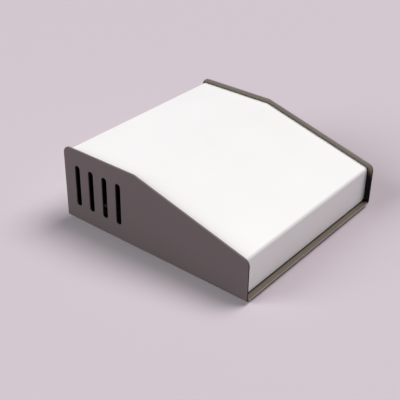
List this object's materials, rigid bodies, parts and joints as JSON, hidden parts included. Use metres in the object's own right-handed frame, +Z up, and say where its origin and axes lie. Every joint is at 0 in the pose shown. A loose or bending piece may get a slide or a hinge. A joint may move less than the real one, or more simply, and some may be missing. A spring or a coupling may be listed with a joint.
{
  "type": "console enclosure",
  "caption": "Low desk-top case with a sloping front panel: a grey folded tray makes the floor and the slotted sides, and a white folded cover drops in between them.",
  "frame": {"origin": "on the surface that the feet stand on, under the middle of the case", "axes": "+X to the right as seen from the front, +Y from the front to the rear, +Z up"},
  "size_m": [0.203, 0.208, 0.078],
  "materials": {
    "tray_paint": "satin",
    "cover_paint": "satin",
    "bright_steel": "satin",
    "foot_rubber": "matte"
  },
  "bodies": {
    "root": {"base_tray": "tray_paint", "cover": "cover_paint", "cover_screws": "bright_steel", "clinch_nuts": "bright_steel", "foot_front_left": "foot_rubber", "foot_front_right": "foot_rubber", "foot_rear_left": "foot_rubber", "foot_rear_right": "foot_rubber"}
  },
  "joints": []
}
